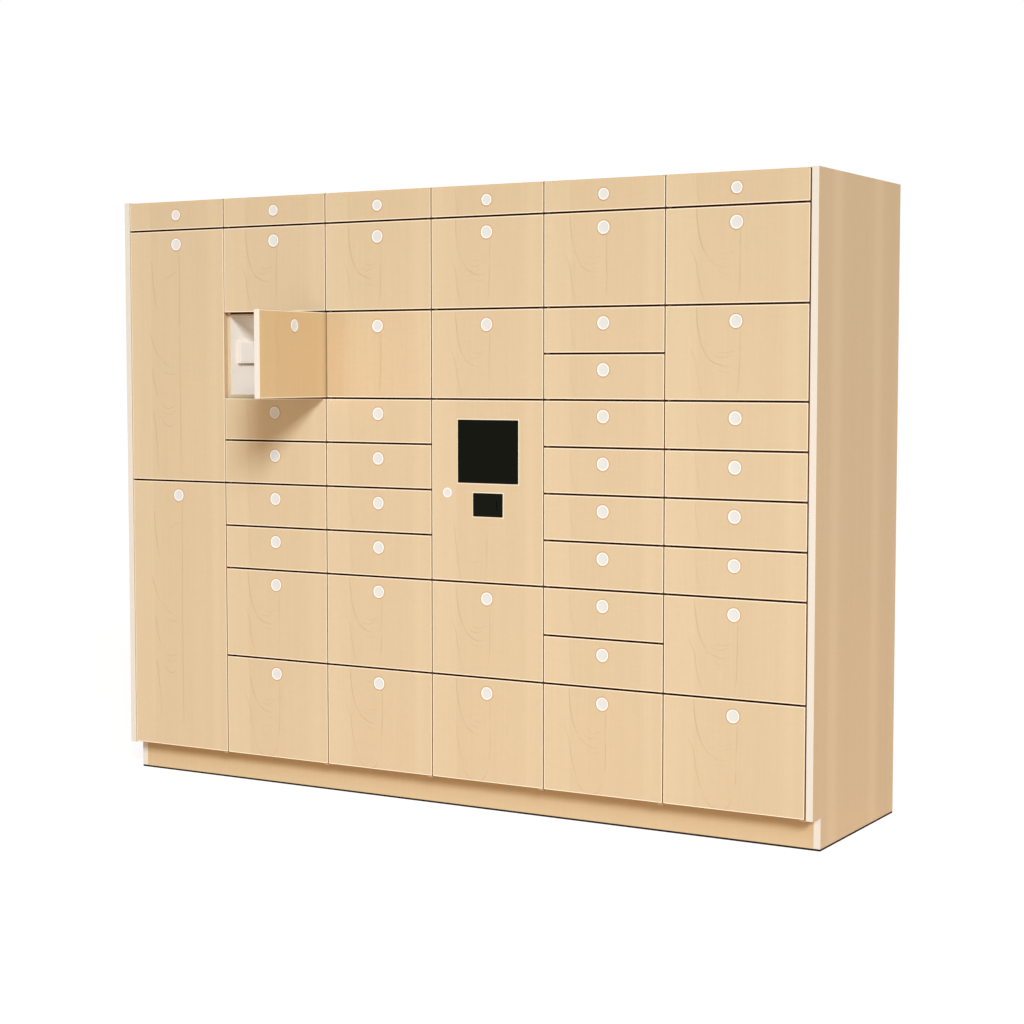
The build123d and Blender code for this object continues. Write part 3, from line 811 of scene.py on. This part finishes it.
glass = prism(round_rect(cx - SW / 2 + 3 * MM, cx + SW / 2 - 3 * MM, SZ0 + 3 * MM, SZ1 - 3 * MM, 1.0 * MM), "y",
              fy(-1.25), fy(0))
finish_obj("screen_glass_pane", glass, ("glass",), "console")

# coin unit: bezel with a raised border, slot insert, body with its chute
bz = prism(round_rect(cx - CW / 2, cx + CW / 2, CZ0, CZ1, 1.5 * MM), "y", fy(-1.5), fy(0),
           holes=[round_rect(cx - CW / 2 + 4 * MM, cx + CW / 2 - 4 * MM, CZ0 + 4 * MM, CZ1 - 4 * MM, 1.0 * MM)])
bevel(bz, [e for e in bz.edges if e.calc_face_angle(0) > 1.2 and all(v.co.y < fy(-1.4) for v in e.verts)],
      0.4 * MM, 2)
sz = (CZ0 + CZ1) / 2
sx = cx + 32 * MM
plate = prism(rect(cx - CW / 2 + 4 * MM, cx + CW / 2 - 4 * MM, CZ0 + 4 * MM, CZ1 - 4 * MM), "y", fy(-1.0), fy(0),
              holes=[rect(sx - 1.6 * MM, sx + 1.6 * MM, sz - 15 * MM, sz + 15 * MM)])
lips = prism(round_rect(sx - 5 * MM, sx + 5 * MM, sz - 19 * MM, sz + 19 * MM, 2.0 * MM), "y", fy(-1.45), fy(-1.0),
             holes=[rect(sx - 1.6 * MM, sx + 1.6 * MM, sz - 15 * MM, sz + 15 * MM)])
bevel(lips, [e for e in lips.edges if e.calc_face_angle(0) > 1.2 and all(v.co.y < fy(-1.4) for v in e.verts)],
      0.15 * MM, 1)
bx0, bx1, bz0, bz1 = cx - CW / 2 + IN, cx + CW / 2 - IN, CZ0 + IN, CZ1 - IN
body_left = box_bm(bx0, sx - 1.6 * MM, fy(0), fy(95), bz0, bz1, 1.0 * MM, 2)
body_right = box_bm(sx + 1.6 * MM, bx1, fy(0), fy(95), bz0, bz1, 1.0 * MM, 2)
body_rear = box_bm(sx - 1.6 * MM, sx + 1.6 * MM, fy(62), fy(95), bz0, bz1, 0.3 * MM, 1)
finish_obj("coin_unit_body", join(bz, plate, lips, body_left, body_right, body_rear), ("black",), "console",
           None, ("coin_unit",))

# service lock: cap, barrel, nut and cam
cap = disc_bm(cam_x, cam_z, 16 * MM, 2.0 * MM, fy(-0.3))
barrel = lathe([(0, 0), (0, 7.9 * MM), (36.0 * MM, 7.9 * MM), (36.3 * MM, 7.5 * MM), (36.3 * MM, 0)],
               (cam_x, fy(-0.35), cam_z), (0, 1, 0), n=48)
nut = prism(circle(cam_x, cam_z, 12 * MM, 6), "y", fy(19.3), fy(23.3), holes=[circle(cam_x, cam_z, 7.9 * MM, 32)])
cam = prism(round_rect(cam_x - 8 * MM, cam_x + 8 * MM, cam_z - 9 * MM, cam_z + 40 * MM, 5 * MM), "y",
            fy(33), fy(36), holes=[circle(cam_x, cam_z, 7.9 * MM, 32)])
finish_obj("console_lock_cap", cap, ("cover", "cover_rim"), "service_lock", None, ("console_lock",))
finish_obj("console_lock_barrel", join(barrel, nut, cam), ("brass",), "service_lock")

# -------------------------------------------------------------------- carcass
notch = [(fy(0), 0.100), (fy(62), 0.100), (fy(62), 0.0), (fy(680), 0.0), (fy(680), H), (fy(0), H)]


def side_faces(n, c):
    if n.y < -0.45 or (n.z < -0.5 and c.z > 0.05 and c.z < 0.2):
        return 1
    if abs(n.x) > 0.75:
        return 0
    return 2


SHADOW_STRIP = 6.0 * MM       # black strip under everything that stands on the floor: painted contact shadow
lift = [(y, max(z, SHADOW_STRIP)) for y, z in notch]
for tag, xa, xb, sd in (("left", 0, 22, 11), ("right", 2568, 2590, 12)):
    bm = prism(lift, "x", fx(xa), fx(xb))
    bevel(bm, [e for e in bm.edges if e.calc_face_angle(0) > 1.0], 0.9 * MM, 3)
    face_mats(bm, side_faces)
    map_uv(bm, sd)
    finish_obj(f"side_panel_{tag}", bm, ("panel", "ivory", "edge"), "carcass", None,
               ("side_panels",))
shadow_strips = []
for xa, xb in ((0.6, 21.4), (2568.6, 2589.4)):
    shadow_strips.append(box_bm(fx(xa), fx(xb), fy(62.6), fy(679.4), 0.0, SHADOW_STRIP, 0.2 * MM, 1))

# plinth
plinth = []
k = 31
for xa, xb, ya, yb in ((22, 1255, 62, 80), (1255, 2548, 62, 80), (2548, 2568, 62, 80), (22, 2568, 600, 618)):
    b = box_bm(fx(xa), fx(xb), fy(ya), fy(yb), SHADOW_STRIP, 0.100, 0.5 * MM, 2)
    k += 1
    map_uv(b, k, top=0.100, low=SHADOW_STRIP)
    plinth.append(b)
    shadow_strips.append(box_bm(fx(xa + 0.5), fx(xb - 0.5), fy(ya + 0.5), fy(yb - 0.5), 0.0, SHADOW_STRIP, 0.2 * MM, 1))
for x in (320, 800, 1295, 1790, 2270):
    b = box_bm(fx(x - 9), fx(x + 9), fy(80), fy(600), SHADOW_STRIP, 0.100, 0.5 * MM, 2)
    k += 1
    map_uv(b, k, top=0.100, low=SHADOW_STRIP)
    plinth.append(b)
    shadow_strips.append(box_bm(fx(x - 8.5), fx(x + 8.5), fy(80.5), fy(599.5), 0.0, SHADOW_STRIP, 0.2 * MM, 1))
finish_obj("plinth_boards", join(*plinth), ("plinth",), "carcass", None, ("plinth",))
finish_obj("contact_shadow_strips", join(*shadow_strips), ("contact_shade",), "carcass")


def carcass_faces(n, c):
    return 1 if n.y < -0.45 else 0


def carcass_board(xa, xb, ya, yb, za, zb, sd):
    b = box_bm(fx(xa), fx(xb), fy(ya), fy(yb), za * MM, zb * MM, 0.6 * MM, 2)
    face_mats(b, carcass_faces)
    map_uv(b, sd, top=zb * MM, low=za * MM)
    return b


def clear_x(c):
    return (22.0 if c == 1 else SEAM[c - 1] + 9.5, 2568.0 if c == 6 else SEAM[c] - 9.5)


shelves = []
k = 60
for c, rows in ROWS.items():
    xa, xb = clear_x(c)
    for z in rows[:-1]:
        k += 1
        shelves.append(carcass_board(xa, xb, 22, 672, z - 9.5, z + 9.5, k))
        # the shelf under the open door keeps a plain front edge, without the painted shade line
        if (c, z) == (2, 1326.0):
            for f in shelves[-1].faces:
                f.material_index *= 2
finish_obj("shelf_boards", join(*shelves), ("white", "gap_shade", "edge"), "carcass", None, ("shelves",))

parts = []
for c in range(1, 6):
    b = prism([(fy(22), 0.119), (fy(672), 0.119), (fy(672), 1.981), (fy(22), 1.981)], "x",
              fx(SEAM[c] - 9.5), fx(SEAM[c] + 9.5), holes=[circle(fy(560), 1.941, 20 * MM, 40)])
    bevel(b, [e for e in b.edges if all(abs(v.co.y - fy(22)) < 1e-6 for v in e.verts)], 0.6 * MM, 2)
    face_mats(b, carcass_faces)
    map_uv(b, 120 + c)
    parts.append(b)
finish_obj("partition_boards", join(*parts), ("white", "edge"), "carcass", None, ("partitions",))

b = carcass_board(22, 2568, 22, 672, 1981, 2000, 131)
face_mats(b, lambda n, c: 1 if (n.y < -0.45) else (2 if n.z > 0.75 else 0))
finish_obj("top_board", b, ("white", "edge", "plain"), "carcass", None, ("top_panel",))
b = carcass_board(22, 2568, 22, 672, 100, 119, 132)
finish_obj("base_board", b, ("white", "edge"), "carcass", None, ("base_panel",))

# back panel: pale inside and on its edges, and a brown hardboard rear
hb = Nodes("hardboard_rear")
o = hb.obj_coord()
fib = hb.noise(o, 260.0, 4, 0.6, 0.4)
blot = hb.noise(o, 3.0, 3)
hb.set(hb.mix(hb.add(hb.mul(fib, 0.6), hb.mul(blot, 0.4)), (0.46, 0.335, 0.215), (0.33, 0.235, 0.145)),
       hb.add(0.55, hb.mul(fib, 0.2)), spec=0.25)
hb.bump(fib, 0.25, 0.0004)
M["hardboard"] = hb.mat
holes = [circle(s * 1.050, z, 4 * MM, 24) for s in (-1, 1) for z in (0.270, 1.941)]
holes.append(circle(cx, 1.941, 30 * MM, 48))
b = prism(rect(fx(22), fx(2568), 0.100, H), "y", fy(672), fy(680), holes=holes)
face_mats(b, lambda n, c: 1 if n.y > 0.5 else 0)
map_uv(b, 140)
finish_obj("back_board", b, ("white", "hardboard"), "carcass", None, ("back_panel",))


# hinge plates keep their CAD shape
def give(node, *mats):
    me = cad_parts[node].data
    me.materials.clear()
    for m in mats:
        me.materials.append(M[m])


give("hinge_plates", "hinge")


# lock cases: moulded box with a lid step, a bolt and two screws
def lock_case(xa, xb, ya, yb, za, zb):
    body = box_bm(xa, xb, ya, yb, za, zb, 1.2 * MM, 3)
    x_face = xb
    lid = prism(round_rect(ya + 5 * MM, yb - 5 * MM, za + 5 * MM, zb - 5 * MM, 3 * MM), "x",
                x_face - 0.2 * MM, x_face + 0.8 * MM)
    bevel(lid, [e for e in lid.edges if e.calc_face_angle(0) > 1.2 and all(v.co.x > x_face + 0.7 * MM for v in e.verts)],
          0.4 * MM, 2)
    paint(body, 0)
    for f in body.faces:
        if f.normal.y < -0.6:
            f.material_index = 2
    paint(lid, 0)
    zc = (za + zb) / 2
    bolt = paint(box_bm(x_face + 0.2 * MM, x_face + 1.0 * MM, yb - 12 * MM, yb - 7 * MM, zc - 5 * MM, zc + 5 * MM,
                        0.3 * MM, 2), 0)
    s1 = paint(screw_bm((x_face + 0.8 * MM, yb - 10 * MM, zb - 12 * MM), (1, 0, 0), 2.0 * MM, 0.5 * MM), 1)
    s2 = paint(screw_bm((x_face + 0.8 * MM, yb - 10 * MM, za + 12 * MM), (1, 0, 0), 2.0 * MM, 0.5 * MM), 1)
    return [body, lid, bolt, s1, s2]


cases = []
for c, rows in ROWS.items():
    xa = clear_x(c)[0]
    xb = SEAM[c - 1] + 9.5 + 12
    for zh, zl in zip(rows, rows[1:]):
        if c == 4 and zh == 1326.0:
            continue
        z = (zl + zh) / 2 + 11
        cases += lock_case(fx(xa), fx(xb), fy(58), fy(148), (z - 38) * MM, (z + 38) * MM)
    z = (1900 + 1998.5) / 2
    cases += lock_case(fx(xa), fx(xb), fy(58), fy(148), (z - 25) * MM, (z + 17) * MM)
kx = clear_x(4)[0]
keeper = paint(box_bm(fx(kx), fx(kx + 16), fy(28), fy(31), cam_z - 16 * MM, cam_z + 16 * MM, 0.5 * MM, 2), 1)
finish_obj("lock_cases", join(*cases, keeper), ("case", "steel_y", "case_edge"), "carcass", None, ("lock_units",))

# coin box: folded sheet steel tray with a rolled rim and a pull
z0 = 743 * MM + 9.5 * MM
xa, xb, ya, yb, zt = cx - 90 * MM, cx + 90 * MM, fy(32), fy(300), z0 + 120 * MM
T = 1.5 * MM
outer = [(xa, ya), (xb, ya), (xb, yb), (xa, yb)]
inner = [(xa + T, ya + T), (xb - T, ya + T), (xb - T, yb - T), (xa + T, yb - T)]
walls = prism(outer, "z", z0, zt, holes=[inner])
floor_t = box_bm(xa + T, xb - T, ya + T, yb - T, z0, z0 + T)
rim = prism(round_rect(xa, xb, ya, yb, 1.0 * MM), "z", zt - 3.0 * MM, zt,
            holes=[round_rect(xa + 4 * MM, xb - 4 * MM, ya + 4 * MM, yb - 4 * MM, 2.0 * MM)])
bevel(rim, [e for e in rim.edges if e.calc_face_angle(0) > 1.2 and e.calc_length() > 0.05], 0.5 * MM, 2)
pull = prism(round_rect(cx - 32 * MM, cx + 32 * MM, z0 + 70 * MM, z0 + 88 * MM, 5 * MM), "y", ya - 0.9 * MM, ya)
finish_obj("coin_box_tray", join(walls, floor_t, rim, pull), ("powder",), "carcass", None,
           ("coin_box",))

# --------------------------------------------------------- stage, light, camera
me = bpy.data.meshes.new("floor")
me.from_pydata([(-30, -30, 0), (30, -30, 0), (30, 30, 0), (-30, 30, 0)], [], [(0, 1, 2, 3)])
floor = bpy.data.objects.new("floor", me)
bpy.context.scene.collection.objects.link(floor)
fm = bpy.data.materials.new("floor_white")
fm.use_nodes = True
t = fm.node_tree
t.nodes.clear()
out = t.nodes.new("ShaderNodeOutputMaterial")
lp = t.nodes.new("ShaderNodeLightPath")
mx = t.nodes.new("ShaderNodeMixShader")
dif = t.nodes.new("ShaderNodeBsdfDiffuse")
dif.inputs[0].default_value = (0.80, 0.575, 0.385, 1)
addn = t.nodes.new("ShaderNodeAddShader")
em = t.nodes.new("ShaderNodeEmission")
em.inputs[0].default_value = (1, 1, 1, 1)
em.inputs[1].default_value = 0.90
soft = t.nodes.new("ShaderNodeBsdfDiffuse")
soft.inputs[0].default_value = (0.20, 0.20, 0.20, 1)
t.links.new(em.outputs[0], addn.inputs[0])
t.links.new(soft.outputs[0], addn.inputs[1])
t.links.new(lp.outputs["Is Camera Ray"], mx.inputs[0])
t.links.new(dif.outputs[0], mx.inputs[1])
t.links.new(addn.outputs[0], mx.inputs[2])
t.links.new(mx.outputs[0], out.inputs[0])
me.materials.append(fm)

world = bpy.data.worlds.new("studio")
bpy.context.scene.world = world
world.use_nodes = True
t = world.node_tree
t.nodes.clear()
out = t.nodes.new("ShaderNodeOutputWorld")
bg = t.nodes.new("ShaderNodeBackground")
lp = t.nodes.new("ShaderNodeLightPath")
mr = t.nodes.new("ShaderNodeMapRange")
mr.inputs["To Min"].default_value = 0.33
mr.inputs["To Max"].default_value = 1.0
tint = t.nodes.new("ShaderNodeMix")
tint.data_type = "RGBA"
tint.inputs[6].default_value = (1.0, 0.735, 0.480, 1)
tint.inputs[7].default_value = (1, 1, 1, 1)
t.links.new(lp.outputs["Is Camera Ray"], tint.inputs[0])
t.links.new(tint.outputs[2], bg.inputs[0])
t.links.new(lp.outputs["Is Camera Ray"], mr.inputs["Value"])
t.links.new(mr.outputs[0], bg.inputs[1])
t.links.new(bg.outputs[0], out.inputs[0])


def sun(name, towards_light, strength, angle, color=(1, 1, 1)):
    lamp = bpy.data.lights.new(name, "SUN")
    lamp.energy = strength
    lamp.angle = math.radians(angle)
    lamp.color = color
    ob = bpy.data.objects.new(name, lamp)
    ob.rotation_mode = "QUATERNION"
    ob.rotation_quaternion = Vector(towards_light).to_track_quat("Z", "Y")
    bpy.context.scene.collection.objects.link(ob)
    return ob


sun("key", (0.594, -0.667, 0.448), 3.00, 15.0, (0.950, 0.990, 1.040))
lamp = bpy.data.lights.new("fill", "AREA")
lamp.shape = "DISK"
lamp.size = 2.6
lamp.energy = 40.0
lamp.color = (1.0, 0.92, 0.82)
ob = bpy.data.objects.new("fill", lamp)
ob.location = (0.75, -4.0, 0.85)
ob.rotation_mode = "QUATERNION"
ob.rotation_quaternion = (ob.location - Vector((0.1, -0.3, 0.95))).to_track_quat("Z", "Y")
bpy.context.scene.collection.objects.link(ob)

lamp = bpy.data.lights.new("inside", "POINT")
lamp.energy = 0.05
lamp.shadow_soft_size = 0.03
lamp.color = (1.0, 0.94, 0.86)
ob = bpy.data.objects.new("inside", lamp)
ob.location = (fx(520), fy(165), 1.565)
bpy.context.scene.collection.objects.link(ob)

yaw, pitch = math.radians(30.406), math.radians(3.9405)
look = Vector((-math.sin(yaw) * math.cos(pitch), math.cos(yaw) * math.cos(pitch), -math.sin(pitch)))
cam = bpy.data.cameras.new("camera")
cam.lens = 71.516
cam.sensor_width = 36.0
cam.clip_end = 200.0
cam_ob = bpy.data.objects.new("camera", cam)
cam_ob.location = (3.50607, -5.84207, 1.41233)
cam_ob.rotation_mode = "QUATERNION"
cam_ob.rotation_quaternion = look.to_track_quat("-Z", "Y")
bpy.context.scene.collection.objects.link(cam_ob)
bpy.context.scene.camera = cam_ob

scene = bpy.context.scene
scene.view_settings.view_transform = "Standard"
scene.view_settings.look = "None"
scene.view_settings.exposure = 0.0
scene.view_settings.gamma = 1.0
